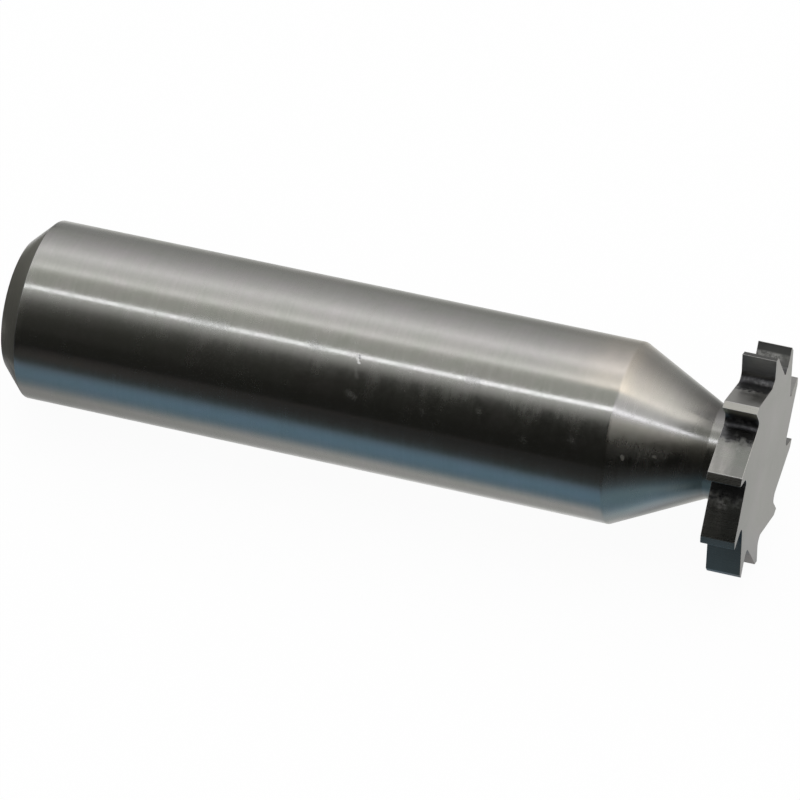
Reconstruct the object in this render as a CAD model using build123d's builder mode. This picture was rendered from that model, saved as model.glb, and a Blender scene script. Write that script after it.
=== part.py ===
from build123d import *
import os
from math import atan2, degrees, radians, tan

# Woodruff keyseat cutter, a milling cutter that sinks the half-moon seat of a woodruff key into a shaft.
# It is ground from one bar of high-speed steel: a round shank for the collet, a cone that leads down to a
# short neck, and a narrow disc with straight teeth on its rim.
# Lengths are in millimetres and angles in degrees. The cutter's axis is X, from the shank's end face to
# the disc, and the cutter lies with Z up.

os.makedirs("parts", exist_ok=True)

# Shank
shank_diameter = 12.7
shank_length = 44.0
shank_chamfer = 1.6

# Cone and neck
taper_length = 6.2
taper_blend = 0.4
neck_diameter = 6.5
neck_length = 1.2
neck_fillet = 0.5

# Disc: its width is the width of the keyseat that it cuts
disc_diameter = 16.0
disc_width = 2.4
side_clearance_angle = 0.5

# Teeth: straight, all round the rim, for a cutter that turns clockwise seen from the shank
tooth_count = 10
rake_angle = 8.0
land_width = 0.6
land_relief_angle = 10.0
tooth_back_angle = 46.5
gullet_radius = 0.55

shank_radius = shank_diameter / 2
neck_radius = neck_diameter / 2
disc_radius = disc_diameter / 2

# Stations along the axis
neck_start = shank_length + taper_length
disc_back = neck_start + neck_length
disc_front = disc_back + disc_width

# Both sides of the disc are ground slightly hollow, so that only the tooth tips rub the keyseat's walls
side_hollow = (disc_radius - neck_radius) * tan(radians(side_clearance_angle))
neck_end = disc_back + side_hollow

# One gullet, drawn in front of the tooth whose tip lies on the sketch's X axis. Its wall there is that
# tooth's cutting face, and its other wall is the back of the next tooth, up to the heel of the land.
tooth_pitch = 360 / tooth_count
sweep_radius = disc_radius * 1.1
tip = Vector(disc_radius, 0)
next_tip = tip.rotate(Axis.Z, tooth_pitch)
trailing_angle = tooth_pitch - 90

with BuildSketch() as gullet:
    with BuildLine():
        face_line = PolarLine(tip, disc_radius, angle=180 + rake_angle, mode=Mode.PRIVATE)
        land = PolarLine(next_tip, land_width, angle=trailing_angle - land_relief_angle)
        back_direction = Vector(1, 0).rotate(Axis.Z, trailing_angle - tooth_back_angle)
        back = IntersectingLine(land @ 1, back_direction, face_line)
        Line(back @ 1, tip)
        Line(tip, (sweep_radius, 0))
        rim = CenterArc((0, 0), sweep_radius, 0, tooth_pitch)
        Line(rim @ 1, next_tip)
    make_face()
    fillet(gullet.vertices().sort_by_distance(back @ 1)[0], gullet_radius)

# The cutter lies on the two teeth beside its lowest gullet, on the tip of one and the heel of the other,
# so the gullets are turned until the line from that tip to that heel is level.
tip_to_heel = (land @ 1) - tip
lying_turn = -degrees(atan2(tip_to_heel.Y, tip_to_heel.X))

with BuildPart() as keyseat_cutter:
    with BuildSketch(Plane.XZ) as half_section:
        with BuildLine():
            Polyline(
                (0, 0),
                (0, shank_radius - shank_chamfer),
                (shank_chamfer, shank_radius),
                (shank_length, shank_radius),
                (neck_start, neck_radius),
                (neck_end, neck_radius),
                (disc_back, disc_radius),
                (disc_front, disc_radius),
                (disc_front - side_hollow, neck_radius),
                (disc_front - side_hollow, 0),
                close=True,
            )
        make_face()
        fillet(half_section.vertices().sort_by_distance((neck_end, neck_radius))[0], neck_fillet)
        fillet(half_section.vertices().sort_by_distance((neck_start, neck_radius))[0], taper_blend)
    revolve(axis=Axis.X)

    # The gullets run straight across the disc, and stop short of the cone.
    with BuildSketch(Plane.YZ.offset(disc_back - neck_length / 2)) as gullets:
        with PolarLocations(0, tooth_count, start_angle=lying_turn):
            add(gullet.sketch)
    extrude(amount=disc_width + neck_length, mode=Mode.SUBTRACT)

keyseat_cutter.part.label = "keyseat_cutter"
export_step(keyseat_cutter.part, "parts/keyseat_cutter.step")
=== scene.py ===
# %% [markdown]
# # A woodruff keyseat cutter
#
# This cutter sinks the half-moon seat of a woodruff key into a shaft. It is ground from one bar of
# high-speed steel: a round shank for the collet, a cone, a short neck and a narrow disc with ten straight
# teeth.
#
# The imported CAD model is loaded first. It is the frame that everything else is placed by, in metres, with
# the origin at the centre of the shank's end, X along the axis to the disc and Z up. Its box is kept,
# because the finished cutter has to fit inside it.

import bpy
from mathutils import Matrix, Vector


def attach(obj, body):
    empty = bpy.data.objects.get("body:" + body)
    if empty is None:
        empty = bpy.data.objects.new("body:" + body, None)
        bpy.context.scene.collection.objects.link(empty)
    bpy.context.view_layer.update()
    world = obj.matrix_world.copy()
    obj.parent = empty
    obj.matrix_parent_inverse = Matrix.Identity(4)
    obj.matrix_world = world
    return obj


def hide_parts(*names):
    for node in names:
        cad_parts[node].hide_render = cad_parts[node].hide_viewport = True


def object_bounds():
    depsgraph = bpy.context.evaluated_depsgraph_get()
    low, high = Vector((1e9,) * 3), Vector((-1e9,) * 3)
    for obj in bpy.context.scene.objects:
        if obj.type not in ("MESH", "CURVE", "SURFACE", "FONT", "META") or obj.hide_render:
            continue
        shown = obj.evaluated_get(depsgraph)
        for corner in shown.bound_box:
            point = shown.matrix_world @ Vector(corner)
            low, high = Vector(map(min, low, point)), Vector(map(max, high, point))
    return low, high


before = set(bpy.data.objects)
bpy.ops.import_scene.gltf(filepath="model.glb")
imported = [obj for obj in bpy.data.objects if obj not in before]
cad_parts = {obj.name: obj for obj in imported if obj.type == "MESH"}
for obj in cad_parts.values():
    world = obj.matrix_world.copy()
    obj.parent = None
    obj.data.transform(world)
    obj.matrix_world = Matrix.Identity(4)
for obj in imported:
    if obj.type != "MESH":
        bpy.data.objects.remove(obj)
cad_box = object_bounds()
print("CAD box in mm:", [[round(v * 1000, 3) for v in corner] for corner in cad_box])

# %% [markdown]
# ## Sizes
#
# A real cutter is made to a drawing, so the scene starts with the drawing's numbers. They are kept in
# millimetres, as a maker writes them, and multiplied by `mm` once. The stations along the axis follow
# from them.

# %% The drawing's sizes
from math import atan2, cos, pi, radians, sin, sqrt, tan

import bmesh
import bpy
from mathutils import Matrix, Vector
from mathutils.geometry import intersect_line_line_2d

mm = 0.001
shank_radius = 6.35 * mm
shank_length = 44.0 * mm
shank_chamfer = 1.6 * mm
taper_length = 6.2 * mm
taper_blend = 0.4 * mm
corner_radius = 0.5 * mm
neck_radius = 3.25 * mm
neck_length = 1.2 * mm
neck_fillet = 0.5 * mm
disc_radius = 8.0 * mm
disc_width = 2.4 * mm
side_clearance = radians(0.5)
tooth_count = 10
rake = radians(8.0)
land_width = 0.6 * mm
land_relief = radians(10.0)
tooth_back = radians(46.5)
gullet_radius = 0.55 * mm

neck_start = shank_length + taper_length
disc_back = neck_start + neck_length
disc_front = disc_back + disc_width
side_hollow = (disc_radius - neck_radius) * tan(side_clearance)
print("disc from", round(disc_back / mm, 3), "to", round(disc_front / mm, 3), "mm")

# %% [markdown]
# ## Camera
#
# The camera stands where the photographer's did: a long lens from 360 mm away, looking down at 48 degrees
# on the cutter, a little from the disc's side. Three directions fix its turn. A camera looks along its
# own -Z, so the matrix has the picture's right, the picture's up and the way back to the lens as its
# columns.

# %% Camera
def add_object(name, data):
    """A new object in the scene."""
    made = bpy.data.objects.new(name, data)
    bpy.context.scene.collection.objects.link(made)
    return made


aim = Vector((27.875, -0.794, -0.679)) * mm
picture_right = Vector((0.9487, 0.3130, -0.0447)).normalized()
way_back = Vector((0.2427, -0.6303, 0.7374)).normalized()
picture_up = way_back.cross(picture_right).normalized()
picture_right = picture_up.cross(way_back)

camera = add_object("camera", bpy.data.cameras.new("camera"))
camera.data.lens = 236.1
camera.data.sensor_width = 36.0
camera.data.clip_start = 0.01
camera.data.clip_end = 20.0
turn = Matrix((picture_right, picture_up, way_back)).transposed().to_4x4()
camera.matrix_world = Matrix.Translation(aim + way_back * 361.25 * mm) @ turn
bpy.context.scene.camera = camera
bpy.context.scene.view_settings.view_transform = "Standard"
print("camera at", [round(v / mm, 1) for v in camera.location], "mm")

# %% [markdown]
# ## Node helpers
#
# Every material below is a small network of nodes. A few short helpers keep the cells readable. `node`
# adds a node and sets its inputs, and `link` joins an output to an input. A socket knows which network it
# belongs to, so `tree_of` asks it. `noise` makes the random clouds that no real surface is without.

# %% Helpers that add nodes
def rgb(colour):
    """A colour as red, green and blue. It may be given as one number, for a grey."""
    return colour if isinstance(colour, tuple) else (colour, colour, colour)


def node(tree, kind, inputs=None, **settings):
    """Adds a node with its own settings, then sets each input to a value or links it to a socket."""
    made = tree.nodes.new(kind)
    for name, value in settings.items():
        setattr(made, name, value)
    for name, value in (inputs or {}).items():
        target = made.inputs[name]
        if isinstance(value, bpy.types.NodeSocket):
            tree.links.new(value, target)
        else:
            target.default_value = (*rgb(value), 1.0) if target.type == "RGBA" else value
    return made


def tree_of(*values):
    """The node tree that the first socket among some values belongs to."""
    return next(value.id_data for value in values if isinstance(value, bpy.types.NodeSocket))


def link(output, target):
    tree_of(output).links.new(output, target)


def own_place(tree):
    """The place of a point in the object's own frame, in metres."""
    return node(tree, "ShaderNodeTexCoord").outputs["Object"]


def noise(place, scale, detail=3.0, roughness=0.5, distortion=0.0):
    """Cloudy values round a half. A higher scale makes smaller clouds."""
    inputs = {"Vector": place, "Scale": scale, "Detail": detail}
    inputs.update({"Roughness": roughness, "Distortion": distortion})
    return node(tree_of(place), "ShaderNodeTexNoise", inputs).outputs["Fac"]


def new_material(name):
    """An empty node material."""
    made = bpy.data.materials.new(name)
    made.use_nodes = True
    made.node_tree.nodes.clear()
    return made


print("nodes can be added")

# %% [markdown]
# A mask is a number from 0 to 1 that says where something is. `span` and `window` make one from a
# measure, `product` multiplies several, and `raised` lifts a value where a mask is.

# %% Helpers for masks
def math(operation, first, second=0.0, third=0.0, clamp=False):
    """One Math node, whose inputs are numbers or sockets."""
    inputs = {0: first, 1: second, 2: third}
    tree = tree_of(first, second, third)
    return node(tree, "ShaderNodeMath", inputs, operation=operation, use_clamp=clamp).outputs[0]


def product(*masks):
    """Masks multiplied together."""
    total = masks[0]
    for mask in masks[1:]:
        total = math("MULTIPLY", total, mask)
    return total


def raised(value, mask, amount):
    """A value raised by an amount where a mask is."""
    return math("MULTIPLY_ADD", mask, amount, value)


def span(value, start, end, low=0.0, high=1.0, step="SMOOTHSTEP"):
    """A step from low to high while a value goes from start to end. It is soft, or LINEAR."""
    inputs = {"Value": value, "From Min": start, "From Max": end, "To Min": low, "To Max": high}
    return node(tree_of(value), "ShaderNodeMapRange", inputs, interpolation_type=step).outputs[0]


def between(mask, low, high):
    """A value that goes from low to high with a mask."""
    return span(mask, 0.0, 1.0, low, high, "LINEAR")


def window(value, rise, fall):
    """A mask of one stretch of a value, which rises over one (start, end) pair and falls over another."""
    return product(span(value, *rise), span(value, *fall))


print("masks can be made")

# %% [markdown]
# Colours come from two kinds of node. `mix_colour` puts a second colour where a mask is, and `ramp` looks
# a value up in a short list of stops. A stop may be a colour or, for a grey, one number.

# %% Helpers for colours
def mix_colour(mask, first, second, blend="MIX"):
    """The first colour, with the second one where a mask is."""
    inputs = {0: mask, 6: first, 7: second}
    tree = tree_of(mask, first, second)
    return node(tree, "ShaderNodeMix", inputs, data_type="RGBA", blend_type=blend).outputs[2]


def ramp(factor, stops):
    """A Color Ramp with the given (position, colour) stops."""
    made = node(tree_of(factor), "ShaderNodeValToRGB", {"Fac": factor})
    elements = made.color_ramp.elements
    while len(elements) < len(stops):
        elements.new(0.5)
    while len(elements) > len(stops):
        elements.remove(elements[-1])
    for element, (position, colour) in zip(elements, sorted(stops, key=lambda stop: stop[0])):
        element.position = position
        element.color = (*rgb(colour), 1.0)
    return made.outputs["Color"]


print("colours can be mixed")

# %% [markdown]
# ## Floor and background
#
# The cutter lies on three points: the edge of the shank's chamfer and two corners of teeth. The disc is
# larger than the shank, so the axis rises towards it by 1.5 degrees. The cutter keeps its own frame here,
# and the floor is tilted under it.
#
# The background is white because the floor and the world are: the floor has a near-white colour, and most
# of what the camera and the reflections see of it is a plain white. The rest is real paper, which keeps
# the soft shadow under the cutter.

# %% Floor
heel_contact = Vector((shank_chamfer, 0.0, -shank_radius))
tooth_contact = Vector((disc_back, 0.0, cad_box[0][2]))
floor_slope = (tooth_contact.z - heel_contact.z) / (tooth_contact.x - heel_contact.x)


def floor_height(x):
    """The floor's height under a station of the axis."""
    return heel_contact.z + (x - heel_contact.x) * floor_slope


def white_to_reflections(tree, share):
    """A mask of the rays from the camera, from metal and through glass, times a share."""
    rays = node(tree, "ShaderNodeLightPath")
    seen = math("MAXIMUM", rays.outputs["Is Camera Ray"], rays.outputs["Is Glossy Ray"])
    seen = math("MAXIMUM", seen, rays.outputs["Is Transmission Ray"])
    return math("MULTIPLY", seen, share)


paper = new_material("white_paper")
tree = paper.node_tree
fibres = noise(own_place(tree), 900.0)
tone = ramp(fibres, [(0.3, (0.955, 0.957, 0.955)), (0.7, (0.975, 0.975, 0.973))])
matte = node(tree, "ShaderNodeBsdfDiffuse", {"Color": tone})
white = node(tree, "ShaderNodeEmission", {"Color": 1.0, "Strength": 1.0})
share = white_to_reflections(tree, 0.95)
blend = node(tree, "ShaderNodeMixShader", {0: share, 1: matte.outputs[0], 2: white.outputs[0]})
node(tree, "ShaderNodeOutputMaterial", {"Surface": blend.outputs[0]})
paper.cycles.emission_sampling = "NONE"

floor_reach = 4.0
corners = [(-1, -1), (1, -1), (1, 1), (-1, 1)]
floor_points = [(x * floor_reach, y * floor_reach, floor_height(x * floor_reach)) for x, y in corners]
floor_mesh = bpy.data.meshes.new("floor")
floor_mesh.from_pydata(floor_points, [], [(0, 1, 2, 3)])
floor_mesh.materials.append(paper)
floor = add_object("floor", floor_mesh)
print("floor falls", round(-floor_slope * 1000, 2), "mm per metre towards the disc")

# %% [markdown]
# ## Plain light
#
# One wide lamp above and the pale world light everything at a plain level, at which white paper renders
# as white paper. The world is full white to the camera and to reflections, and a little lower as light,
# so that lamp and world together come to one.

# %% World and lamp
world = bpy.data.worlds.new("pale_room")
world.use_nodes = True
tree = world.node_tree
tree.nodes.clear()
strength = between(white_to_reflections(tree, 1.0), 0.66, 1.0)
sky = node(tree, "ShaderNodeBackground", {"Color": 1.0, "Strength": strength})
node(tree, "ShaderNodeOutputWorld", {"Surface": sky.outputs[0]})
bpy.context.scene.world = world


def area_lamp(name, place, towards, sides, power, in_reflections, along=(1, 0, 0), colour=(1, 1, 1)):
    """A rectangular lamp. The first of its sides lies along X, or along another direction."""
    lamp = bpy.data.lights.new(name, "AREA")
    lamp.shape = "RECTANGLE"
    lamp.size = sides[0]
    lamp.size_y = sides[1]
    lamp.energy = power
    lamp.color = colour
    holder = add_object(name, lamp)
    back = (Vector(place) - Vector(towards)).normalized()
    across = back.cross(Vector(along)).normalized()
    turn = Matrix((across.cross(back), across, back)).transposed().to_4x4()
    holder.matrix_world = Matrix.Translation(place) @ turn
    holder.visible_camera = False
    holder.visible_glossy = in_reflections


area_lamp("overhead_softbox", (0.05, 0.35, 1.1), (0.03, 0.0, 0.0), (1.2, 1.2), 5.0, False)
print("plain light is set")

# %% [markdown]
# ## What the metal sees
#
# Ground steel has almost no colour of its own: it shows what stands round it. A photographer of bright
# steel therefore builds a tent of cards. Here a grey-white diffuser is curved over the back and the top,
# two thin strip lights hang end to end at its front edge, a black flag stands on the camera's side, and a
# bluish sheet lies on the table in front of the shank. The diffuser and the flag reach down past the
# floor, so that no white shows under them. All cards are long in X, so their edges become straight bands
# along the shank.
#
# Only reflections see the cards: they cast no shadow, light nothing and stay out of the picture. Each
# card is a strip of faces whose V coordinate runs across it. A Color Ramp along V is the card's print. A
# card may have several prints, each for one place along X, and fades from one to the next.

# %% The print on a card
tent_radius = 0.30
tent_left = -0.35
tent_right = 0.50


def glow_material(name, first, width, prints):
    """A glow from (X, stops) prints. The stops are (station, colour) pairs across the card."""
    made = new_material(name)
    tree = made.node_tree
    across = node(tree, "ShaderNodeUVMap", uv_map="across").outputs[0]
    v = node(tree, "ShaderNodeSeparateXYZ", {"Vector": across}).outputs["Y"]
    x = node(tree, "ShaderNodeSeparateXYZ", {"Vector": own_place(tree)}).outputs["X"]
    glow = None
    for print_x, stops in prints:
        tone = ramp(v, [((station - first) / width, colour) for station, colour in stops])
        if glow is None:
            glow = tone
        else:
            glow = mix_colour(span(x, last_x, print_x, step="LINEAR"), glow, tone)
        last_x = print_x
    light = node(tree, "ShaderNodeEmission", {"Color": glow, "Strength": 1.0})
    node(tree, "ShaderNodeOutputMaterial", {"Surface": light.outputs[0]})
    made.cycles.emission_sampling = "NONE"
    return made


def scaled(stops, factor):
    """The same print, brighter or darker. The factor is a number, or three for red, green and blue."""
    factors = rgb(factor)
    return [(station, tuple(c * f for c, f in zip(rgb(colour), factors))) for station, colour in stops]


print("tent of cards:", tent_left, "to", tent_right, "m along X")

# %% [markdown]
# A card is made from rows of points, each with its station across the card. The curved cards get their
# rows from an arc round the axis, where the station is the angle from the top towards the camera's side.

# %% A card for reflections only
def card(name, rows, prints):
    """A sheet through rows of (station, left point, right point) that only reflections see."""
    first = rows[0][0]
    width = rows[-1][0] - first
    points = [point for row in rows for point in row[1:]]
    faces = [(2 * i, 2 * i + 1, 2 * i + 3, 2 * i + 2) for i in range(len(rows) - 1)]
    mesh = bpy.data.meshes.new(name)
    mesh.from_pydata(points, [], faces)
    across = mesh.uv_layers.new(name="across")
    for loop in mesh.loops:
        row, column = divmod(loop.vertex_index, 2)
        across.data[loop.index].uv = (column, (rows[row][0] - first) / width)
    mesh.materials.append(glow_material(name, first, width, prints))
    made = add_object(name, mesh)
    made.visible_camera = False
    made.visible_diffuse = False
    made.visible_transmission = False
    made.visible_volume_scatter = False
    made.visible_shadow = False


def in_the_tent(x, angle, distance):
    """A point at a distance from the axis, at an angle from the top towards the camera's side."""
    return Vector((x, -distance * sin(radians(angle)), distance * cos(radians(angle))))


def arc_rows(start, end, step):
    """Rows of a card curved round the X axis, from one angle to another."""
    count = int(abs(end - start) / step)
    angles = [start + (end - start) * i / count for i in range(count + 1)]
    return [(a, *[in_the_tent(x, a, tent_radius) for x in (tent_left, tent_right)]) for a in angles]


diffuser_rows = arc_rows(-97, 22, 2)
flag_rows = arc_rows(22, 96, 2)
print("rows of the diffuser and the flag:", len(diffuser_rows), len(flag_rows))

# %% [markdown]
# The diffuser's print has two soft maxima, one 38 degrees behind the top and one 13 degrees behind it,
# with a darker strip between them. On the shank they become the broad sheen and the narrow one over the
# bright line. The print on the right is brighter and warmer, and shows in the cone. The one on the far
# left is a little darker at the back, for the first stretch of the shank.

# %% Diffuser
cool = (1.0, 1.01, 0.96)
warm = (1.03, 1.0, 0.95)
neutral = (1.015, 1.0, 1.03)
high_part = [(-92, 0.30), (-84, 0.345), (-76, 0.38)]
sheen_part = [(-68, 0.43), (-60, 0.505), (-52, 0.60), (-44, 0.75), (-38, 0.86), (-33, 0.78)]
front_part = [(-28, 0.66), (-24, 0.62), (-20, 0.665), (-15, 0.83), (-12, 0.85), (-10, 0.68)]
behind_the_top = high_part + scaled(sheen_part, neutral) + front_part
over_the_top = [(-8, 0.52), (-5, 0.43), (-2, 0.395), (8, 0.38), (16, 0.385), (22, 0.40)]
diffuser_print = behind_the_top + scaled(over_the_top, cool)
right_part = [(-92, 0.20), (-84, 0.23), (-76, 0.275), (-63, 0.41), (-52, 0.55), (-40, 0.72), (-33, 0.83)]
right_part += [(-25, 0.94), (-17, 1.14), (-12, 1.06), (-9, 0.80)]
diffuser_right = scaled(right_part, warm) + [(-4, 0.64), (0, 0.59), (8, 0.57), (22, 0.54)]
left_back = scaled(high_part + scaled(sheen_part, neutral), 0.91)
diffuser_left = left_back + front_part + scaled(over_the_top, cool)
prints = [(-0.12, diffuser_left), (-0.02, diffuser_print), (0.22, diffuser_right)]
card("back_and_top_diffuser", diffuser_rows, prints)
print("diffuser stops:", len(diffuser_print), "and", len(diffuser_right))

# %% [markdown]
# The flag's print falls from a soft grey under the strip lights to black. It is a little less black on
# the left and, close to the light, on the right.

# %% Flag
flag_left = [
    (22, 0.40), (25.5, 0.32), (29.5, 0.24), (33.5, 0.18), (36.5, 0.165), (40, 0.14), (44, 0.108),
    (52, 0.064), (60, 0.050), (68, 0.042), (76, 0.026), (92, 0.022),
]
flag_middle = [
    (22, 0.44), (25.5, 0.345), (29.5, 0.235), (33.5, 0.118), (36.5, 0.052), (40, 0.026), (44, 0.019),
    (52, 0.014), (60, 0.013), (76, 0.012), (92, 0.013),
]
flag_right = [
    (22, 0.55), (25.5, 0.46), (29.5, 0.37), (33.5, 0.28), (36.5, 0.20), (40, 0.13), (44, 0.075),
    (52, 0.030), (60, 0.012), (76, 0.005), (92, 0.006),
]


def browner_below(stops):
    """The flag's print, with a tenth less blue from 30 degrees under its upper edge."""
    upper_edge = stops[0][0]
    return [(a, (v, v, v * (1 - 0.10 * min((a - upper_edge) / 30, 1)))) for a, v in stops]


prints = [(-0.115, flag_left), (-0.055, flag_middle), (0.04, flag_middle), (0.22, flag_right)]
card("black_flag", flag_rows, [(x, browner_below(stops)) for x, stops in prints])
print("flag stops:", len(flag_left), len(flag_middle), len(flag_right))

# %% [markdown]
# The strip lights make the one bright line on the shank and the cone. Each is a thin lamp, a little cool
# in colour. They are tilted by a few degrees, because the line on the shank isn't quite parallel to its
# axis. The right one is brighter, and makes the line on the cone.

# %% Strip lights
strip_distance = 0.28
strip_colour = (0.99, 1.0, 1.09)


def strip_light(name, left, right, width, power):
    """A thin lamp in the tent. Its ends are (X, angle) pairs."""
    ends = [in_the_tent(x, angle, strip_distance) for x, angle in (left, right)]
    middle = (ends[0] + ends[1]) / 2
    run = ends[1] - ends[0]
    area_lamp(name, middle, (middle.x, 0, 0), (run.length, width), power, True, run, strip_colour)


strip_light("strip_light_left", (-0.35, 15.6), (-0.02, 17.0), 0.021, 0.0245)
strip_light("strip_light_right", (-0.02, 17.1), (0.49, 12.4), 0.023, 0.0565)

# %% [markdown]
# The sheets on the table lie a tenth of a millimetre over the floor. A station is the distance in front
# of the axis, in millimetres. From far to near, the print of the sheet in front goes from black over blue
# to a light grey. The blue part comes closer to the axis under the cone and the disc, and turns greyer at
# the shank's end. Under the disc the print is darker near the axis: a painted shadow of the disc. The
# sheet's left edge is slanted, so the shank never sees it and only the chamfer does.

# %% Sheet in front
def table_rows(stations, lefts, right, gap):
    """Rows of a card on the table, with its left end given for each station."""
    rows = []
    for station, left in zip(stations, lefts):
        ends = [(x, -station * mm, floor_height(x) + gap) for x in (left * mm, right)]
        rows.append((station, ends[0], ends[1]))
    return rows


black_part = [(300, 0.016), (60, 0.026), (33, 0.034)]
blue_edge = [(24, (0.041, 0.048, 0.050)), (20.5, (0.064, 0.083, 0.094))]
blue_part = [
    (18.2, (0.101, 0.140, 0.182)), (15.0, (0.121, 0.190, 0.256)), (12.3, (0.121, 0.198, 0.270)),
    (10.4, (0.116, 0.180, 0.238)), (9.2, (0.148, 0.200, 0.244)),
]
near_part = [
    (8.0, (0.282, 0.303, 0.321)), (6.9, 0.382), (6.1, 0.365), (5.3, 0.322), (4.7, 0.39), (4.1, 0.57),
    (3.5, 0.69), (2.5, 0.66), (0.0, 0.66),
]
under_the_shank = black_part + blue_edge + blue_part + near_part
cone_part = [
    (18.2, (0.075, 0.103, 0.130)), (15.0, (0.106, 0.160, 0.203)), (12.3, (0.125, 0.193, 0.238)),
    (9.2, (0.113, 0.178, 0.228)), (8.0, (0.122, 0.186, 0.242)), (6.9, (0.175, 0.256, 0.328)),
    (5.7, (0.308, 0.382, 0.440)), (4.4, (0.312, 0.348, 0.390)), (3.5, (0.262, 0.278, 0.300)),
    (2.5, (0.365, 0.380, 0.395)), (0.0, 0.60),
]
under_the_cone = scaled(black_part + blue_edge, 0.92) + cone_part
# A painted shadow of the disc darkens this print near the axis.
disc_shadow_print = [
    (300, 0.016), (60, 0.018), (33, 0.026), (20, (0.052, 0.066, 0.076)), (13, (0.092, 0.138, 0.172)),
    (8, (0.30, 0.32, 0.33)), (5, 0.48), (0, 0.56),
]
greyer_blue = scaled(blue_edge + blue_part, (1.0, 0.92, 0.88))
left_end = scaled(black_part, (1.45, 1.35, 1.30)) + greyer_blue + scaled(near_part, 0.72)
left_part = black_part + blue_edge + blue_part + scaled(near_part, 0.87)
prints = [
    (-0.005, left_end), (0.010, left_part), (0.024, under_the_shank), (0.0420, under_the_shank),
    (0.0465, under_the_cone), (0.0520, under_the_cone), (0.0548, disc_shadow_print),
]
over_the_floor = 0.1 * mm
card("sheet_in_front", table_rows([300, 0], [-90, -4], tent_right, over_the_floor), prints)
print("places with a print of their own:", len(prints))

# %% [markdown]
# The sheet behind the axis has a slanted left edge too. It is pale next to the cutter and darker further
# off. Under both sheets, at half their height, a dark one covers the floor past the shank's end, because
# the chamfer looks there.

# %% Sheets behind and at the end
behind_near = [(0, 0.56), (-4, 0.58), (-12, 0.60), (-18, 0.60)]
behind_far = [(-30, 0.36), (-50, 0.27), (-100, 0.28), (-300, 0.30)]
behind_stations = [0, -20, -40, -70, -300]
behind_rows = table_rows(behind_stations, [-11, -13, -16, -28, -110], tent_right, over_the_floor)
cream = (1.0, 1.0, 0.975)
behind_left = scaled(behind_near, 1.45) + behind_far
behind_right = scaled(behind_near + behind_far, cream)
card("sheet_behind", behind_rows, [(-0.009, behind_left), (-0.002, behind_right)])

end_print = [(300, 0.01), (60, 0.013), (30, 0.025), (12, 0.06)]
end_print += [(0, 0.08), (-20, 0.08), (-50, 0.10), (-300, 0.15)]
end_rows = table_rows([300, -300], [tent_left / mm, tent_left / mm], 0.0, over_the_floor / 2)
card("sheet_at_the_end", end_rows, [(0.0, end_print)])

# %% [markdown]
# The two ends of the tent are closed by upright cards. The one at the shank's end is dark, and gives the
# chamfer its deep grey. The one on the disc's side is mid-grey, because the disc's flat face looks at it.

# %% End cards
def upright_rows(x):
    """Rows of an upright card across the tent's end, from the floor up."""
    return [(z, (x, -tent_radius, z), (x, tent_radius, z)) for z in (-0.02, tent_radius)]


card("dark_end_card", upright_rows(tent_left), [(0.0, [(-0.02, 0.07), (tent_radius, 0.135)])])
card("grey_end_card", upright_rows(tent_right), [(0.0, [(-0.02, 0.45), (tent_radius, 0.60)])])

# %% [markdown]
# ## Shape of the turned body
#
# On a lathe the body is one profile turned round the axis, and a mesh can be made in the same way: points
# of the profile become rings of vertices, and neighbouring rings are joined by quads. Three corners of
# the profile are rounded: the softened corner where the cone starts, the blend where it ends, and the
# fillet at the disc. `round_corner` gives the points of such an arc. It is used again for the gullets.

# %% Profile
def round_corner(before, corner, after, radius, steps):
    """Points of the arc that rounds the corner of an outline."""
    inward = (before - corner).normalized()
    outward = (after - corner).normalized()
    half = inward.angle(outward) / 2
    centre = corner + (inward + outward).normalized() * (radius / sin(half))
    first = corner + inward * (radius / tan(half)) - centre
    last = corner + outward * (radius / tan(half)) - centre
    start = atan2(first.y, first.x)
    swing = (atan2(last.y, last.x) - start + pi) % (2 * pi) - pi
    turns = [start + swing * i / steps for i in range(steps + 1)]
    return [centre + Vector((cos(t), sin(t))) * radius for t in turns]


def side_x(radius, front):
    """Station of the disc's side at a radius. Both sides are ground slightly hollow."""
    hollow = side_hollow * (disc_radius - max(radius, neck_radius)) / (disc_radius - neck_radius)
    return disc_front - hollow if front else disc_back + hollow


cone_start = Vector((shank_length, shank_radius))
cone_end = Vector((neck_start, neck_radius))
neck_end = Vector((side_x(neck_radius, False), neck_radius))
disc_side = Vector((disc_back, disc_radius))

end_face_rings = (1.6 * mm, 4.5 * mm)
shank_start = shank_chamfer + 0.5 * mm
shank_parts = 8

profile = [Vector((0.0, radius)) for radius in end_face_rings]
profile += [Vector((0.0, shank_radius - shank_chamfer)), Vector((shank_chamfer, shank_radius))]
profile += [Vector((shank_start, shank_radius))]
profile += [Vector((shank_length * i / shank_parts, shank_radius)) for i in range(1, shank_parts)]
profile += round_corner(profile[-1], cone_start, cone_end, corner_radius, 5)
profile += [cone_start.lerp(cone_end, share) for share in (0.2, 0.5, 0.8)]
profile += round_corner(cone_start, cone_end, neck_end, taper_blend, 6)
profile += round_corner(cone_end, neck_end, disc_side, neck_fillet, 12)
print("profile points:", len(profile))

# %% [markdown]
# ## Outline of the teeth
#
# Each tooth has a cutting face that leans under its tip by the rake angle, a narrow relieved land on the
# rim, a straight back and a rounded gullet. The gullets are milled straight across, so one flat outline
# describes the whole toothed rim. The outline is worked out from the angles as a toolmaker would lay it
# out: the land leaves the tip, the back leaves the land's heel, and the back meets the next face in the
# gullet's root.

# %% Tooth outline
pitch = 2 * pi / tooth_count


def turned(point, angle):
    """A point of the outline turned about the axis."""
    x = point.x * cos(angle) - point.y * sin(angle)
    y = point.x * sin(angle) + point.y * cos(angle)
    return Vector((x, y))


def heading(angle):
    return Vector((cos(angle), sin(angle)))


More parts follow.
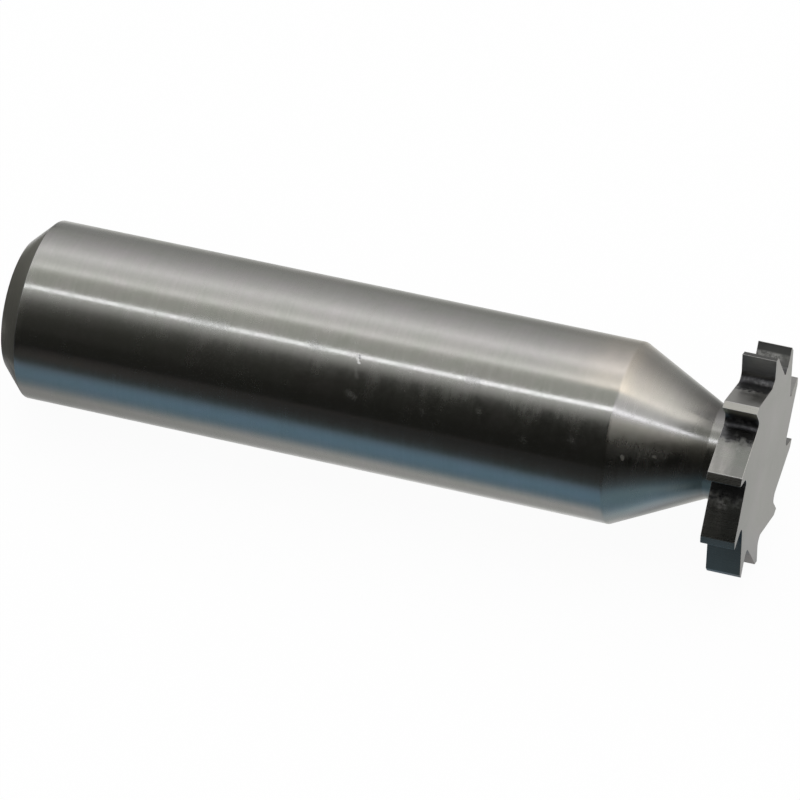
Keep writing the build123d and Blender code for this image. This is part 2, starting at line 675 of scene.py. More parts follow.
tip = Vector((disc_radius, 0.0))
next_tip = turned(tip, pitch)
trailing = pitch - pi / 2
heel = next_tip + heading(trailing - land_relief) * land_width
face_far = tip + heading(pi + rake) * disc_radius
back_far = heel + heading(trailing - tooth_back) * disc_radius
root = intersect_line_line_2d(tip, face_far, heel, back_far)
gullet = round_corner(tip, root, heel, gullet_radius, 14)
deepest = min(range(len(gullet)), key=lambda i: gullet[i].length)

# One tooth, from the middle of the gullet behind it to the middle of the gullet in front of it.
behind = gullet[deepest:] + [heel, next_tip]
in_front = [turned(p, pitch) for p in gullet[:deepest]]
tooth = behind + in_front
lying_turn = -atan2(heel.y - tip.y, heel.x - tip.x)
outline = [turned(p, lying_turn + k * pitch) for k in range(tooth_count) for p in tooth]
root_angle = atan2(outline[0].y, outline[0].x)
print("points on the rim:", len(outline))
print("gullet bottom at radius", round(gullet[deepest].length / mm, 3), "mm")

# %% [markdown]
# ## One mesh
#
# The cutter is one piece of steel, so it is one closed mesh. The rings carry 36 vertices for each tooth,
# and start at the angle of a gullet's deepest point. Every face also gets a number for the finish that it
# was left with, because grinding, turning and milling leave steel that looks different.

# %% Rings of the turned body
SHANK, CHAMFER, CONE, SIDE, LAND, BACK, GULLET, EDGE = range(8)
per_tooth = 36
around = tooth_count * per_tooth
bm = bmesh.new()


def ring(x, radius):
    """A ring of vertices round the axis."""
    made = []
    for i in range(around):
        angle = root_angle + 2 * pi * i / around
        made.append(bm.verts.new((x, radius * cos(angle), radius * sin(angle))))
    return made


def join(first, second, finish):
    """Quads between two rings, or triangles between a ring and a centre vertex."""
    for i in range(len(first)):
        j = (i + 1) % len(first)
        opposite = [second[j], second[i]] if len(second) > 1 else [second[0]]
        bm.faces.new([first[i], first[j]] + opposite).material_index = finish


def finish_at(x):
    """The finish of the turned body at a station."""
    if x <= shank_chamfer:
        return CHAMFER
    return SHANK if x < shank_length - 0.05 * mm else CONE


rings = [ring(p.x, p.y) for p in profile]
join(rings[0], [bm.verts.new((0, 0, 0))], CHAMFER)
for k in range(len(rings) - 1):
    join(rings[k], rings[k + 1], finish_at(profile[k + 1].x))
print("rings:", len(rings), "of", around, "vertices")

# %% [markdown]
# The disc's two sides are filled tooth by tooth, between a ring at the hub and the outline of the teeth.
# The side towards the cone starts where the fillet ends. The outer side closes over the middle with two
# more rings. Both are hollow, so each point gets its station from its radius.

# %% Sides of the disc
hub_radius = 4.6 * mm
face_centre_radius = 1.2 * mm
sides = {}
for front in (False, True):
    hub = ring(side_x(hub_radius, front), hub_radius)
    if front:
        flat = ring(side_x(neck_radius, True), neck_radius)
        middle = ring(side_x(neck_radius, True), face_centre_radius)
        join(hub, flat, SIDE)
        join(flat, middle, SIDE)
        join(middle, [bm.verts.new((side_x(0, True), 0, 0))], SIDE)
    else:
        join(rings[-1], hub, SIDE)
    rim = [bm.verts.new((side_x(p.length, front), p.x, p.y)) for p in outline]
    step = len(tooth)
    for k in range(tooth_count):
        edge = [rim[(k * step + i) % len(rim)] for i in range(step + 1)]
        base = [hub[(k * per_tooth + i) % around] for i in range(per_tooth + 1)]
        bm.faces.new(base + edge[::-1]).material_index = SIDE
    sides[front] = rim
print("faces with both sides:", len(bm.faces))

# %% [markdown]
# The rim joins the two outlines with one wall for each step: the land, the back, and the milled rest.
# Then the normals are turned outwards. A closed mesh has no open edges, and its volume is the steel's.

# %% Rim
heel_index = len(behind) - 2
wall_finish = {heel_index: LAND, heel_index - 1: BACK}
for i in range(len(outline)):
    j = (i + 1) % len(outline)
    wall = bm.faces.new([sides[False][i], sides[False][j], sides[True][j], sides[True][i]])
    wall.material_index = wall_finish.get(i % len(tooth), GULLET)

bmesh.ops.recalc_face_normals(bm, faces=bm.faces)
open_edges = [e for e in bm.edges if not e.is_manifold]
body_volume = bm.calc_volume()
mesh = bpy.data.meshes.new("cutter")
bm.to_mesh(mesh)
bm.free()
print("faces:", len(mesh.polygons), "open edges:", len(open_edges))
print("volume in mm3:", round(body_volume / mm**3, 1))

# %% [markdown]
# ## Edges
#
# No real edge is perfectly sharp. A Bevel modifier breaks every edge over 20 degrees by 0.035 mm, which
# is far less than a pixel of the photograph but enough to catch a line of light, and gives the new faces
# a finish of their own. A Weighted Normal modifier then keeps the large faces flat right up to those
# small bevels.

# %% Edges and shading
cutter = add_object("steel_cutter", mesh)
for face in mesh.polygons:
    face.use_smooth = True

edge_break = cutter.modifiers.new("edge_break", "BEVEL")
edge_break.width = 0.035 * mm
edge_break.segments = 2
edge_break.limit_method = "ANGLE"
edge_break.angle_limit = radians(20)
edge_break.miter_outer = "MITER_ARC"
edge_break.use_clamp_overlap = True
edge_break.material = EDGE

flat_faces = cutter.modifiers.new("flat_faces", "WEIGHTED_NORMAL")
flat_faces.mode = "FACE_AREA"
flat_faces.weight = 80
flat_faces.keep_sharp = False
print("modifiers:", [m.name for m in cutter.modifiers])

# %% [markdown]
# ## Groups that the finishes share
#
# All finishes are steel, so their materials share a few effects. Each effect is a node group with named
# inputs, built once and placed in each material with its own values.
#
# The first group measures where a point lies on the cutter, in the terms of a turned part: the station
# along the axis and the radius in millimetres, and the angle from straight up towards the camera's side
# in degrees.

# %% Group: place on the cutter
def new_group(name, inputs, outputs):
    """A shader node group. Its inputs come with their values. A socket named Colour holds a colour."""
    made = bpy.data.node_groups.new(name, "ShaderNodeTree")
    kinds = {"Colour": "NodeSocketColor"}
    for label, value in inputs.items():
        kind = kinds.get(label, "NodeSocketFloat")
        made.interface.new_socket(name=label, in_out="INPUT", socket_type=kind).default_value = value
    for label in outputs:
        kind = kinds.get(label, "NodeSocketFloat")
        made.interface.new_socket(name=label, in_out="OUTPUT", socket_type=kind)
    return made, made.nodes.new("NodeGroupInput").outputs, made.nodes.new("NodeGroupOutput").inputs


def use_group(tree, group, inputs=None):
    """Places a group in a material and gives back its outputs."""
    return node(tree, "ShaderNodeGroup", inputs, node_tree=group).outputs


def from_axis(xyz):
    """The distance from the X axis."""
    squares = [product(xyz[axis], xyz[axis]) for axis in "YZ"]
    return math("SQRT", math("ADD", *squares))


place_group, given, result = new_group("place_on_cutter", {}, ["Station", "Radius", "Angle"])
xyz = node(place_group, "ShaderNodeSeparateXYZ", {"Vector": own_place(place_group)}).outputs
to_front = product(xyz["Y"], -1.0)
from_top = math("ARCTAN2", to_front, xyz["Z"])
link(product(xyz["X"], 1 / mm), result["Station"])
link(product(from_axis(xyz), 1 / mm), result["Radius"])
link(product(from_top, 180 / pi), result["Angle"])
print("group:", place_group.name)

# %% [markdown]
# Grinding and turning leave fine lines: hoops round the shank and the cone, rings on the disc's sides,
# and straight lines across the teeth, where the wheel went along the axis. One noise does them all,
# stretched by how far it has to go, in millimetres, to change along the axis, away from the axis, or
# round it.

# %% Group: grinding lines
inputs = {"Along Axis": 0.15, "Off Axis": 1000.0, "Round": 4.0, "Detail": 3.0}
lines_group, given, result = new_group("grinding_lines", inputs, ["Lines"])
inputs = {0: own_place(lines_group), "Scale": 1 / mm}
in_mm = node(lines_group, "ShaderNodeVectorMath", inputs, operation="SCALE").outputs[0]
xyz = node(lines_group, "ShaderNodeSeparateXYZ", {"Vector": in_mm}).outputs
along = math("DIVIDE", xyz["X"], given["Along Axis"])
outwards = math("DIVIDE", from_axis(xyz), given["Off Axis"])
inputs = {
    "X": math("ADD", along, outwards),
    "Y": math("DIVIDE", xyz["Y"], given["Round"]),
    "Z": math("DIVIDE", xyz["Z"], given["Round"]),
}
stretched = node(lines_group, "ShaderNodeCombineXYZ", inputs).outputs[0]
streaks = noise(stretched, 1.0, given["Detail"], 0.6)
link(span(streaks, 0.25, 0.75, step="LINEAR"), result["Lines"])


def lines(tree, along_axis, round_it, detail=3.0, off_axis=1000.0):
    """Lines that change over these lengths in mm: along the axis, round it and away from it."""
    inputs = {"Along Axis": along_axis, "Off Axis": off_axis, "Round": round_it, "Detail": detail}
    return use_group(tree, lines_group, inputs)["Lines"]


print("group:", lines_group.name)

# %% [markdown]
# Bare steel that has been handled is never one grey. A thin film of oil and tarnish makes soft clouds, a
# touch warmer here and a touch greener there. The group takes a steel colour and gives it back clouded.

# %% Group: tarnish
inputs = {"Colour": (0.6, 0.6, 0.6, 1.0), "Cloud Size": 2.5, "Amount": 1.0}
tarnish_group, given, result = new_group("tarnish", inputs, ["Colour", "Clouds"])
size = math("DIVIDE", 1 / mm, given["Cloud Size"])
clouds = noise(own_place(tarnish_group), size, 4.0, 0.62, 0.6)
greener = [(0.30, (0.93, 0.95, 0.91)), (0.46, (0.99, 1.0, 0.97))]
warmer = [(0.56, (1.01, 1.0, 0.99)), (0.72, (1.06, 1.03, 1.04))]
cast = ramp(clouds, greener + warmer)
film = mix_colour(given["Amount"], given["Colour"], cast, "MULTIPLY")
link(film, result["Colour"])
link(clouds, result["Clouds"])


def clouded(colour, cloud_size, amount):
    """A steel colour with clouds of a size in mm."""
    inputs = {"Colour": colour, "Cloud Size": cloud_size, "Amount": amount}
    return use_group(tree_of(colour), tarnish_group, inputs)["Colour"]


print("group:", tarnish_group.name)

# %% [markdown]
# The nicks, scuffs and specks in the photograph have their own places. The group draws one of them: a
# short line on the unrolled surface, from one station and angle to another, with a ragged edge. A speck
# is a line that ends where it starts.

# %% Group: one mark
places = ("Station", "Angle", "From Station", "From Angle", "To Station", "To Angle")
inputs = {**dict.fromkeys(places, 0.0), "Width": 0.2, "Raggedness": 1.6}
mark_group, given, result = new_group("mark", inputs, ["Mask"])
per_degree = shank_radius / mm * pi / 180


def unrolled(which=""):
    """A point of the shank's unrolled surface, in mm."""
    height = product(given[which + "Angle"], per_degree)
    inputs = {"X": given[which + "Station"], "Y": height}
    return node(mark_group, "ShaderNodeCombineXYZ", inputs).outputs[0]


def vector_math(operation, *values):
    made = node(mark_group, "ShaderNodeVectorMath", dict(enumerate(values)), operation=operation)
    return made.outputs["Value" if operation in ("DOT_PRODUCT", "LENGTH") else "Vector"]


here = unrolled()
start = unrolled("From ")
run = vector_math("SUBTRACT", unrolled("To "), start)
offset = vector_math("SUBTRACT", here, start)
length_squared = math("MAXIMUM", vector_math("DOT_PRODUCT", run, run), 0.0001)
along_run = vector_math("DOT_PRODUCT", offset, run)
share = math("DIVIDE", along_run, length_squared, clamp=True)
beside = node(mark_group, "ShaderNodeVectorMath", {0: run, "Scale": share}, operation="SCALE").outputs[0]
distance = vector_math("LENGTH", vector_math("SUBTRACT", offset, beside))
around_half = math("SUBTRACT", noise(here, 5.0), 0.5)
ragged = product(around_half, given["Raggedness"])
edge = math("ADD", math("DIVIDE", distance, given["Width"]), ragged)
link(span(edge, 0.9, 0.1), result["Mask"])
print("group:", mark_group.name)

# %% [markdown]
# Near the cone the shank's upper side has a warm, creamy patch. It is partly a heat tint, left where the
# steel grew hot in grinding, and partly a painted highlight, lighter than the steel, where the corner
# catches the light. It runs over the corner, so the shank and the cone share its group. It is strongest
# along the corner and fades away from it.

# %% Group: heat tint and painted highlight
ramp_length = 60.0


def by_station(station, stops):
    """A value that follows (station, value) stops along the axis."""
    shares = [(x / ramp_length, value) for x, value in stops]
    return ramp(math("DIVIDE", station, ramp_length), shares)


inputs = {"Colour": (0.6, 0.6, 0.6, 1.0), "Station": 0.0, "Angle": 0.0}
tint_and_highlight_group, given, result = new_group("heat_tint_and_painted_highlight", inputs, ["Colour"])
stops = [(38.0, 0.0), (41.0, 0.30), (42.6, 0.95), (44.2, 1.0), (45.0, 0.42), (47.5, 0.0)]
along = by_station(given["Station"], stops)
above_the_line = window(given["Angle"], (-70.0, -50.0), (18.5, 14.5))
patches = noise(own_place(tint_and_highlight_group), 420.0, 3.0, 0.6)
uneven = span(patches, 0.3, 0.6, 0.65, 1.0, "LINEAR")
mask = product(above_the_line, uneven, along)
# The cream colour is partly heat tint and partly a painted highlight along the corner.
link(mix_colour(mask, given["Colour"], (0.86, 0.80, 0.71)), result["Colour"])
print("group:", tint_and_highlight_group.name)

# %% [markdown]
# ## Steel
#
# Every finish ends in the same way: a fully metallic Principled BSDF, with its base colour, roughness and
# a small bump from the groups. Lines round the axis also stretch the highlights, because light is
# scattered across the lines and hardly along them. The shader does this with Anisotropic and a Tangent
# that runs round the X axis.
#
# `new_finish` starts a finish and gives its three measures, and `steel` ends it. A turned part has no
# seam, but the angle jumps from 180 to -180 degrees at its lowest line, so its masks by angle have to end
# at the same value on both sides of that line.

# %% Start and end of a finish
def new_finish(name):
    """A material for one finish, its node tree, and the station, radius and angle on the cutter."""
    made = new_material(name)
    spot = use_group(made.node_tree, place_group)
    return made, made.node_tree, spot["Station"], spot["Radius"], spot["Angle"]


def steel(made, colour, roughness, anisotropic, height, depth, metallic=1.0):
    """The shader that every finish ends in. `depth` is the bump's height in metres."""
    tree = made.node_tree
    bump = node(tree, "ShaderNodeBump", {"Height": height, "Distance": depth, "Strength": 1.0})
    inputs = {
        "Base Color": colour,
        "Metallic": metallic,
        "Roughness": roughness,
        "Anisotropic": anisotropic,
        "Anisotropic Rotation": 0.25,
        "Normal": bump.outputs[0],
    }
    shader = node(tree, "ShaderNodeBsdfPrincipled", inputs)
    tangent = node(tree, "ShaderNodeTangent", direction_type="RADIAL", axis="X")
    link(tangent.outputs[0], shader.inputs["Tangent"])
    node(tree, "ShaderNodeOutputMaterial", {"Surface": shader.outputs[0]})
    mesh.materials.append(made)
    print("material:", made.name, "nodes:", len(tree.nodes))


print("a finish can be started and ended")

# %% [markdown]
# The shank is ground between centres to the size of the collet, and is the smoothest part. Its marks are
# a nick that crosses the bright line, two faint scuffs below it, some specks, and three places on the
# line that are rubbed dull. Each mark is one row, so it is easy to move. A mark is rougher than the steel
# round it. The torn metal in the nick also scatters light as chalk does, which a lower Metallic shows.

# %% Marks on the shank
def marks(where, rows, raggedness=1.6):
    """The strongest of several marks, as (strength, from station, angle, to station, angle, width) rows."""
    total = None
    for strength, from_station, from_angle, to_station, to_angle, width in rows:
        start = {"From Station": from_station, "From Angle": from_angle}
        end = {"To Station": to_station, "To Angle": to_angle}
        inputs = {**where, **start, **end, "Width": width, "Raggedness": raggedness}
        drawn = use_group(tree_of(*where.values()), mark_group, inputs)["Mask"]
        mask = product(drawn, strength)
        total = mask if total is None else math("MAXIMUM", total, mask)
    return total


finish, tree, station, radius, angle = new_finish("ground_shank")
where = {"Station": station, "Angle": angle}
nick_rows = [(0.9, 25.80, 28.9, 26.12, 33.0, 0.13)]
# The gap is a dark line in the nick: a painted shade where the nick's wall turns away from the light.
nick_shade_rows = [(1.0, 26.04, 28.4, 26.06, 29.6, 0.15)]
scuff_rows = [
    (0.25, 26.02, 37.5, 26.20, 42.0, 0.22),
    (0.26, 25.75, 52.0, 26.25, 54.2, 0.34),
    (0.20, 34.91, 46.5, 34.95, 46.7, 0.34),
    (0.20, 41.57, 51.9, 41.60, 52.2, 0.34),
    (0.12, 38.20, 57.5, 38.30, 58.5, 0.32),
    (0.12, 31.10, 54.0, 31.15, 55.0, 0.30),
]
rubbed_rows = [
    (0.6, 14.10, 28.2, 16.10, 27.8, 0.90),
    (0.9, 22.60, 26.8, 22.95, 28.2, 0.55),
    (0.8, 33.85, 28.6, 34.35, 29.6, 0.70),
]
nick = marks(where, nick_rows)
gap = marks(where, nick_shade_rows)
scuffs = marks(where, scuff_rows)
rubbed = marks(where, rubbed_rows, 2.2)
print("marks on the shank:", len(nick_rows + nick_shade_rows + scuff_rows + rubbed_rows))

# %% [markdown]
# Smoky smudges run down from the bright line over the half next to the cone, where hands have held it.
# They are short hoops of uneven length that come in clusters, so three masks of lines are multiplied:
# fingers for the single streaks, wide hoops for where they break off, and clusters for where they are at
# all.

# %% Smudges on the shank
fingers = lines(tree, 0.45, 1.0, 4.0)
wide_hoops = lines(tree, 1.1, 3.2, 4.0)
clusters = lines(tree, 2.4, 2.5, 2.0)
smudges = product(
    window(angle, (31.0, 33.5), (52.0, 38.0)),
    span(station, 26.5, 31.5, 0.28, 1.0),
    span(station, 38.0, 42.0, 1.0, 0.40),
    span(clusters, 0.30, 0.70, 0.35, 1.0),
    span(wide_hoops, 0.3, 0.78),
    fingers,
)
print("nodes with marks and smudges:", len(tree.nodes))

# %% [markdown]
# The rest of the shank has faint hoops and shallow dimples from the wheel. Its gloss is uneven along the
# gripped length, which the `grip_wear` stops give by station, and a little more uneven on its flanks. The
# roughness is kept over a tenth, because real ground steel is never a perfect mirror.

# %% Ground shank
hoops = lines(tree, 0.16, 5.0)
dimples = lines(tree, 0.40, 0.42, 2.0)
grip_wear = [(0, 0.78), (8, 0.74), (16, 1.15), (23, 0.77), (32, 0.70), (38, 0.62), (42, 0.60)]
gripped = by_station(station, grip_wear)

colour = mix_colour(hoops, (0.603, 0.600, 0.572), (0.636, 0.633, 0.604))
colour = clouded(colour, 2.0, 0.75)
colour = use_group(tree, tint_and_highlight_group, {**where, "Colour": colour})["Colour"]
colour = mix_colour(product(rubbed, 0.55), colour, (0.47, 0.47, 0.455))
colour = mix_colour(nick, colour, (0.86, 0.86, 0.84))
# Painted shade in the nick's gap.
colour = mix_colour(gap, colour, (0.34, 0.34, 0.33))

patches = math("ADD", between(wide_hoops, -0.055, 0.055), between(dimples, -0.035, 0.035))
flank = math("ADD", span(angle, -15.0, -30.0), span(angle, 94.0, 104.0))
roughness = raised(between(hoops, 0.150, 0.180), gripped, 0.068)
roughness = raised(roughness, patches, between(flank, 1.0, 1.6))
roughness = math("MAXIMUM", roughness, 0.10)
for mask, amount in ((smudges, 0.24), (scuffs, 0.22), (rubbed, 0.06), (nick, 0.30)):
    roughness = raised(roughness, mask, amount)
metallic = raised(between(nick, 1.0, 0.25), scuffs, -0.12)
steel(finish, colour, roughness, 0.9, raised(dimples, hoops, 0.08), 0.5e-6, metallic)

# %% [markdown]
# The chamfer at the shank's end is turned, not ground, and stays darker and rougher, with a faint olive
# tinge. On its slope a painted shade darkens the low side towards the camera, and a painted highlight
# lightens the upper back side. Both masks fade out before the end face.

# %% Turned chamfer
finish, tree, station, radius, angle = new_finish("turned_chamfer")
on_slope = span(station, 0.0, 0.15)
shaded_low_side = product(window(angle, (84.0, 91.0), (172.0, 128.0)), on_slope)
highlit_upper_back = product(window(angle, (-8.0, -20.0), (-150.0, -70.0)), on_slope)
hoops = lines(tree, 0.12, 3.0, off_axis=0.35)
colour = mix_colour(hoops, (0.57, 0.562, 0.487), (0.63, 0.622, 0.547))
colour = clouded(colour, 2.0, 0.5)
# Painted shade on the low side, and a painted highlight on the upper back side.
colour = mix_colour(shaded_low_side, colour, (0.21, 0.206, 0.19))
colour = mix_colour(highlit_upper_back, colour, (0.80, 0.79, 0.75))
steel(finish, colour, between(hoops, 0.33, 0.41), 0.5, hoops, 0.2e-6)

# %% [markdown]
# The cone and the neck are turned with a finer tool. Towards the neck, next to the disc, a painted shade
# darkens the steel, more so on the upper side than below the bright line, so two lists of stops by station
# are mixed by a mask of the angle. On the line itself a painted highlight keeps it bright up to the neck,
# and below the line the steel is a little warmer.

# %% Painted shade of the cone
finish, tree, station, radius, angle = new_finish("turned_cone")
where = {"Station": station, "Angle": angle}
darker_above = [(44, 1.0), (47.2, 0.97), (48.5, 0.78), (49.6, 0.57), (50.3, 0.52), (52, 0.64)]
darker_below = [(44, 1.0), (47.2, 1.0), (48.5, 0.93), (49.6, 0.86), (50.3, 0.80), (52, 0.76)]
shade_above = by_station(station, darker_above)
shade_below = by_station(station, darker_below)
shaded_low_side = window(angle, (66.0, 78.0), (108.0, 99.0))
underside = span(angle, 150.0, 172.0)
below = math("SUBTRACT", span(angle, -4.0, 19.0), math("ADD", shaded_low_side, underside))
line_zone = window(angle, (19.0, 26.0), (34.0, 31.0))
highlight_on_the_line = product(line_zone, span(station, 48.6, 49.6))
# Painted shade towards the neck, next to the disc, and a painted highlight on the line.
shade = mix_colour(below, shade_above, shade_below)
shade = mix_colour(highlight_on_the_line, shade, 1.06)
under_the_line = span(angle, 30.0, 36.0, 0.0, 0.8)
warmth = math("SUBTRACT", under_the_line, underside, clamp=True)
print("stops along the cone:", len(darker_above), len(darker_below))

# %% [markdown]
# The rings are wide enough to break the bright line into beads. Under the line, near the corner, the cone
# is hazy, so the light spreads there. Two specks sit on the dark side.

# %% Turned cone and neck
rings_fine = lines(tree, 0.17, 2.4)
rings_wide = lines(tree, 0.42, 3.0, 2.0)
beads = lines(tree, 0.42, 0.9, 2.0)
speck_rows = [(0.52, 45.08, 57.0, 45.16, 58.6, 0.18), (0.34, 47.04, 54.8, 47.12, 55.4, 0.19)]
specks = marks(where, speck_rows, 1.1)
hazy_zone = window(angle, (31.0, 34.5), (54.0, 39.0))
haze = product(hazy_zone, span(station, 49.8, 46.8))

colour = mix_colour(rings_wide, (0.588, 0.580, 0.563), (0.645, 0.637, 0.620))
colour = mix_colour(warmth, colour, (0.645, 0.620, 0.560))
colour = mix_colour(1.0, colour, shade, "MULTIPLY")
colour = clouded(colour, 2.2, 0.6)
colour = use_group(tree, tint_and_highlight_group, {**where, "Colour": colour})["Colour"]
roughness = raised(between(rings_wide, 0.18, 0.26), beads, 0.06)
roughness = raised(roughness, haze, between(beads, 0.04, 0.24))
roughness = raised(roughness, specks, 0.25)
metallic = raised(1.0, specks, -0.16)
steel(finish, colour, roughness, 0.8, rings_fine, 0.6e-6, metallic)

# %% [markdown]
# The disc's two sides are ground flat with the cutter turning, which leaves rings. They are a matt, even
# grey, because they scatter the light in all directions. The side next to the cone is a little smoother:
# there the bright line on the cone is mirrored once more.

# %% Ground sides of the disc
finish, tree, station, radius, angle = new_finish("ground_side")
rings = lines(tree, 1000.0, 5.0, off_axis=0.14)
at_the_back = span(station, 53.0, 52.0)
colour = mix_colour(rings, (0.495, 0.491, 0.48), (0.53, 0.525, 0.513))
colour = clouded(colour, 2.6, 0.7)
roughness = raised(between(rings, 0.36, 0.44), at_the_back, -0.14)
steel(finish, colour, roughness, 0.3, rings, 0.3e-6)

# %% [markdown]
# The lowest teeth, next to the floor, carry a painted shade with a brown tinge. They are much darker than
# the teeth above them, on the lands and on the tooth backs.

# %% Group: painted shade on the lowest teeth
lowest_teeth_shade_group, given, result = new_group("shade_on_lowest_teeth", {"Angle": 0.0}, ["Oil"])
lowest = span(math("ABSOLUTE", given["Angle"]), 84.0, 102.0)
patches = noise(own_place(lowest_teeth_shade_group), 700.0)
uneven = span(patches, 0.3, 0.7, 0.85, 1.0, "LINEAR")
link(product(lowest, uneven), result["Oil"])


def shade_on_lowest_teeth(angle):
    """A mask of the painted shade on the lowest teeth."""
    return use_group(tree_of(angle), lowest_teeth_shade_group, {"Angle": angle})["Oil"]


print("group:", lowest_teeth_shade_group.name)

# %% [markdown]
# The lands are the last faces to be ground, when the cutter is brought to size. They are narrow and
# bright, but the ones on the two top teeth towards the back are darker, and the lowest one in view, next
# to the floor, is darkened by a painted shade.

# %% Ground lands
finish, tree, station, radius, angle = new_finish("ground_land")
scratches = lines(tree, 2.5, 0.07)
darker_top = window(angle, (-80.0, -64.0), (-2.0, -14.0))
darkest_top = window(angle, (-80.0, -64.0), (-30.0, -45.0))
colour = mix_colour(scratches, (0.53, 0.522, 0.49), (0.59, 0.58, 0.545))
colour = clouded(colour, 1.2, 0.6)
colour = mix_colour(darker_top, colour, (0.22, 0.219, 0.214))
colour = mix_colour(darkest_top, colour, 0.10)
# Painted shade on the lowest teeth, and a deeper one on the lowest land in view.
colour = mix_colour(shade_on_lowest_teeth(angle), colour, (0.24, 0.21, 0.185))
colour = mix_colour(span(angle, 112.0, 122.0), colour, (0.09, 0.088, 0.085))
steel(finish, colour, between(scratches, 0.24, 0.34), 0.2, scratches, 0.2e-6)

# %% [markdown]
# The gullets were milled before the steel was hardened, and their roots and the cutting faces have kept
# the dark skin from the hardening. A painted shade, deepest in the roots, darkens them further. The tooth
# backs were ground bright afterwards, but the wheel ran out before the root. There the bright ground steel
# ends in a speckled fringe, and below it the dark skin and the painted shade start. A mask from the radius
# and a coarse noise draws that border.

# %% Group: dark skin and painted shade
inputs = {"Radius": 7.0, "Ends At": 6.4, "Raggedness": 0.35}
skin_and_shade_group, given, result = new_group("dark_skin_and_shade", inputs, ["Skin", "Fringe"])
place = own_place(skin_and_shade_group)
around_half = math("SUBTRACT", noise(place, 2300.0, 4.0), 0.5)
wandering = raised(given["Radius"], around_half, given["Raggedness"])
from_border = math("SUBTRACT", wandering, given["Ends At"])
link(span(from_border, 0.12, -0.12), result["Skin"])
beside = math("ABSOLUTE", math("SUBTRACT", from_border, 0.04))
near = span(beside, 0.24, 0.02, step="LINEAR")
speckle = span(noise(place, 4200.0, 2.0), 0.36, 0.70, step="LINEAR")
link(product(near, speckle), result["Fringe"])
print("group:", skin_and_shade_group.name)

# %% [markdown]
# A tooth back is the widest ground face of a tooth. Scratches and a few stained runs cross it. The back
# that faces the light gets a painted highlight, weaker in its outer corner at the root. The one above it is
# darker, and the outer end of the ones below it is darkened by a painted shade.

# %% Ground tooth backs
finish, tree, station, radius, angle = new_finish("ground_back")
scratches = lines(tree, 2.5, 0.09)
runs = lines(tree, 0.55, 2.2, 4.0)
border = use_group(tree, skin_and_shade_group, {"Radius": radius, "Ends At": 6.42, "Raggedness": 0.75})
shaded_outer_end = product(span(station, 52.2, 53.1, 0.0, 0.95), span(angle, 24.0, 32.0))
# The runs are stains; the darker outer end of the lower backs is a painted shade.
stain_and_shade = raised(shaded_outer_end, span(runs, 0.75, 0.25), 0.5)
outer_root = product(span(station, 52.5, 53.3), span(radius, 7.7, 7.1))
# A painted highlight on the back that faces the light.
to_the_light = window(angle, (-17.0, -14.0), (24.0, 20.0))
brighter = product(to_the_light, between(outer_root, 1.0, 0.35))
one_back = product(window(angle, (-58.0, -52.0), (-20.0, -27.0)), 0.4)
fringe = product(border["Fringe"], span(angle, 58.0, 70.0, 0.75, 0.32))

colour = mix_colour(scratches, (0.458, 0.452, 0.434), (0.512, 0.504, 0.482))
colour = mix_colour(stain_and_shade, colour, (0.30, 0.305, 0.29))
colour = clouded(colour, 1.3, 0.8)
colour = mix_colour(brighter, colour, (0.685, 0.677, 0.65))
colour = mix_colour(one_back, colour, (0.30, 0.30, 0.29))
# Painted shade on the lowest teeth.
colour = mix_colour(shade_on_lowest_teeth(angle), colour, (0.245, 0.215, 0.19))
# Towards the root: the dark skin and a painted shade.
colour = mix_colour(border["Skin"], colour, (0.16, 0.16, 0.165))
colour = mix_colour(fringe, colour, (0.56, 0.56, 0.55))
roughness = raised(between(scratches, 0.24, 0.33), brighter, 0.10)
roughness = raised(roughness, border["Fringe"], 0.22)
metallic = raised(1.0, border["Fringe"], -0.05)
steel(finish, colour, roughness, 0.2, scratches, 0.13e-6, metallic)

# %% [markdown]
# The milled faces keep faint tool lines. Their roots are darkest, from the dark skin and a painted shade,
# and a painted light makes them a little lighter under the upper cutting faces. The fringe of the dark
# skin shows on them too.

# %% Roots of the gullets
finish, tree, station, radius, angle = new_finish("milled_gullet")
tool_lines = lines(tree, 3.0, 0.12)
border = use_group(tree, skin_and_shade_group, {"Radius": radius, "Ends At": 6.20, "Raggedness": 0.8})
inputs = {"Colour": (0.33, 0.33, 0.325), "Cloud Size": 0.9, "Amount": 1.0}
clouds = use_group(tree, tarnish_group, inputs)
in_view = window(angle, (-68.0, -60.0), (178.0, 164.0))
deep = product(span(radius, 6.75, 6.35), in_view)
upper_side = window(angle, (-24.0, -16.0), (44.0, 34.0))
lit_upper_faces = product(upper_side, span(radius, 6.3, 6.5))
fringe = product(border["Fringe"], span(angle, -24.0, -10.0, 0.28, 0.45))

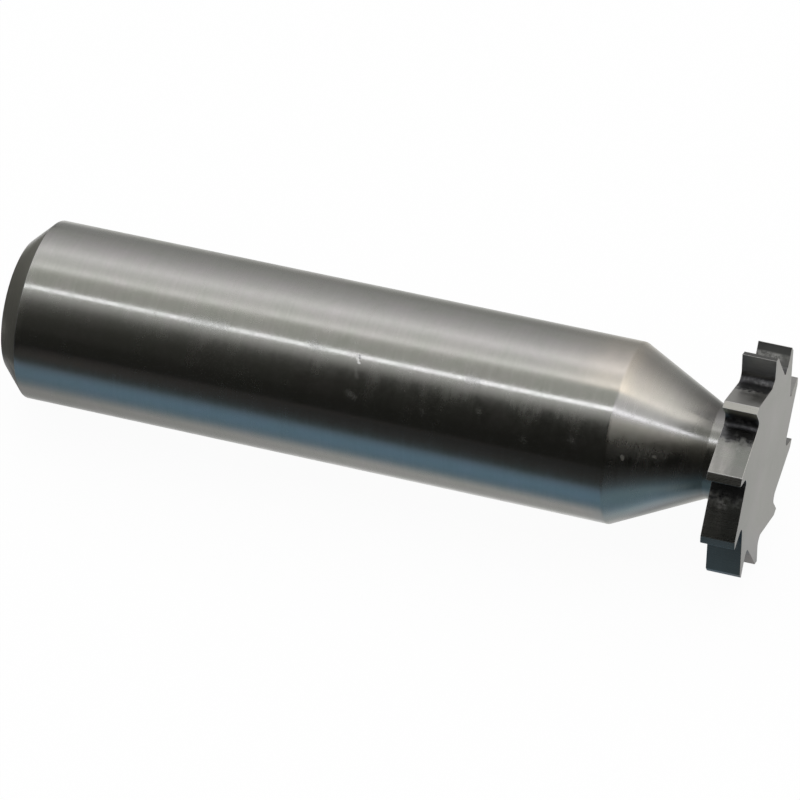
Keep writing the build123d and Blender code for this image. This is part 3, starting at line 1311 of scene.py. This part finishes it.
# Painted shade in the roots, on top of the dark skin, and painted light under the upper cutting faces.
root_shade_colour = mix_colour(lit_upper_faces, (0.10, 0.10, 0.105), (0.24, 0.23, 0.205))
colour = mix_colour(tool_lines, clouds["Colour"], (0.40, 0.40, 0.39))
colour = mix_colour(deep, colour, root_shade_colour)
colour = mix_colour(fringe, colour, 0.50)
print("nodes for the roots:", len(tree.nodes))

# %% [markdown]
# The cutting face of the top tooth is worn: a band under its dark tip is rubbed bright in blotches.
# Another one, further down, has a warm, lighter patch under its tip.

# %% Milled gullets and cutting faces
top_tooth = product(span(angle, -44.0, -49.0), in_view)
dark_tip = product(top_tooth, span(radius, 7.3, 7.5))
worn = product(
    top_tooth,
    window(radius, (6.8, 7.1), (7.5, 7.3)),
    span(station, 53.4, 53.0, 0.25, 1.0),
    span(lines(tree, 0.30, 0.22), 0.15, 0.75),
)
one_face = window(angle, (8.0, 14.0), (27.0, 23.0))
under_a_tip = product(one_face, span(radius, 6.5, 7.3))
colour = mix_colour(dark_tip, colour, (0.22, 0.222, 0.22))
colour = mix_colour(worn, colour, (0.82, 0.82, 0.80))
colour = mix_colour(under_a_tip, colour, (0.64, 0.61, 0.48))
roughness = raised(between(clouds["Clouds"], 0.34, 0.56), border["Fringe"], 0.1)
metallic = raised(1.0, border["Fringe"], -0.05)
steel(finish, colour, roughness, 0.2, tool_lines, 0.4e-6, metallic)

# %% [markdown]
# The broken edges are the smallest faces. They are lighter than the rest, because they are worn bright.

# %% Broken edges
finish, tree, station, radius, angle = new_finish("broken_edge")
wear = lines(tree, 0.5, 0.5)
# The painted shade on the lowest teeth darkens their broken edges too.
lowest_shade = product(shade_on_lowest_teeth(angle), span(radius, 5.5, 6.6))
colour = mix_colour(wear, (0.60, 0.595, 0.58), (0.74, 0.735, 0.72))
colour = clouded(colour, 1.0, 0.6)
colour = mix_colour(lowest_shade, colour, (0.30, 0.27, 0.245))
steel(finish, colour, between(wear, 0.26, 0.40), 0.0, wear, 0.2e-6)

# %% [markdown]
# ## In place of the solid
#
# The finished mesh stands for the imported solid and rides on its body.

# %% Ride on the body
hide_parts("keyseat_cutter")
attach(cutter, "root")
